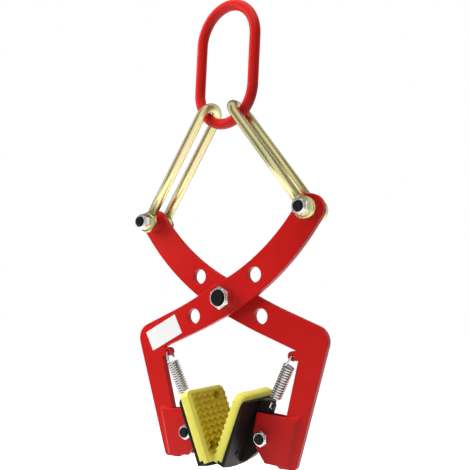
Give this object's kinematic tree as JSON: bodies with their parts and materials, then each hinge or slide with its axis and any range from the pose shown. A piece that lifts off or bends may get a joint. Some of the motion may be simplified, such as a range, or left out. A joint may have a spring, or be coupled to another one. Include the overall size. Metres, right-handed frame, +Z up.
{
  "type": "lifting tongs",
  "caption": "Crossed-arm lifting tongs hung from an oblong link by bent rods; sprung ribbed jaws close on the load as the link is pulled up.",
  "frame": {"origin": "where a crane hook bears, on the inside of the top of the master link", "axes": "+Z up, +X to the right seen from the side with the pivot nut, +Y away from that side"},
  "size_m": [0.2591, 0.0842, 0.5528],
  "materials": {
    "zinc": "yellow passivated zinc, satin",
    "red_paint": "red powder coat, semi gloss",
    "black_paint": "black powder coat, satin",
    "bright_steel": "bright zinc",
    "black_steel": "black oxide",
    "bronze": "plain bearing bronze",
    "nylon": "black nylon",
    "pad": "yellow polyurethane, satin",
    "label": "white film"
  },
  "bodies": {
    "link": {"master_link": "red_paint"},
    "rod_right": {"lifting_rod_right": "zinc", "rod_spacers_right": "bright_steel", "top_bolt_right": "black_steel", "top_nut_right": "bright_steel", "top_nut_insert_right": "nylon"},
    "rod_left": {"lifting_rod_left": "zinc", "rod_spacers_left": "bright_steel", "top_bolt_left": "black_steel", "top_nut_left": "bright_steel", "top_nut_insert_left": "nylon"},
    "front_arm": {"arm_front": "red_paint", "label_plate": "label", "pivot_bolt": "black_steel", "pivot_nut": "bright_steel", "pivot_nut_insert": "nylon", "pivot_bush": "bronze", "pivot_middle_washer": "bright_steel", "pivot_rear_washer": "bright_steel", "fork_plate_left_front": "red_paint", "fork_plate_left_rear": "red_paint", "jaw_bolt_left": "black_steel", "jaw_nut_left": "bright_steel", "jaw_nut_insert_left": "nylon", "spring_left": "bright_steel"},
    "back_arm": {"arm_back": "red_paint", "fork_plate_right_front": "red_paint", "fork_plate_right_rear": "red_paint", "jaw_bolt_right": "black_steel", "jaw_nut_right": "bright_steel", "jaw_nut_insert_right": "nylon", "spring_right": "bright_steel"},
    "jaw_left": {"jaw_web_left": "black_paint", "jaw_plate_left": "black_paint", "grip_pad_left": "pad", "pad_screws_left": "black_steel"},
    "jaw_right": {"jaw_web_right": "black_paint", "jaw_plate_right": "black_paint", "grip_pad_right": "pad", "pad_screws_right": "black_steel"}
  },
  "joints": [
    {"name": "rod_right_swing", "type": "hinge", "parent": "link", "child": "rod_right", "pos_m": [0.01682, -0.00291, -0.13153], "axis": [0, -1, 0], "range_deg": [0, 15.4]},
    {"name": "front_arm_turn", "type": "hinge", "parent": "rod_right", "child": "front_arm", "pos_m": [0.10571, -0.00291, -0.25273], "axis": [0, 1, 0], "range_deg": [0, 37.4]},
    {"name": "arms_open", "type": "hinge", "parent": "front_arm", "child": "back_arm", "pos_m": [-0.00683, 0.00169, -0.34885], "axis": [0, -1, 0], "range_deg": [0, 44]},
    {"name": "rod_left_turn", "type": "hinge", "parent": "back_arm", "child": "rod_left", "pos_m": [-0.11937, 0.0063, -0.25273], "axis": [0, 1, 0], "range_deg": [0, 37.4]},
    {"name": "jaw_left_turn", "type": "hinge", "parent": "front_arm", "child": "jaw_left", "pos_m": [-0.05483, -0.00291, -0.50485], "axis": [0, 1, 0], "range_deg": [0, 42], "stiffness_Nm_per_rad": 0.4, "springref_deg": -28.65, "deforming": ["spring_left"]},
    {"name": "jaw_right_turn", "type": "hinge", "parent": "back_arm", "child": "jaw_right", "pos_m": [0.04117, 0.0063, -0.50485], "axis": [0, -1, 0], "range_deg": [0, 42], "stiffness_Nm_per_rad": 0.4, "springref_deg": -28.65, "deforming": ["spring_right"]}
  ],
  "couplings": [
    {"joint": "rod_right_swing", "follows": "arms_open", "ratio": 0.35},
    {"joint": "front_arm_turn", "follows": "arms_open", "ratio": 0.85},
    {"joint": "rod_left_turn", "follows": "arms_open", "ratio": 0.85}
  ]
}
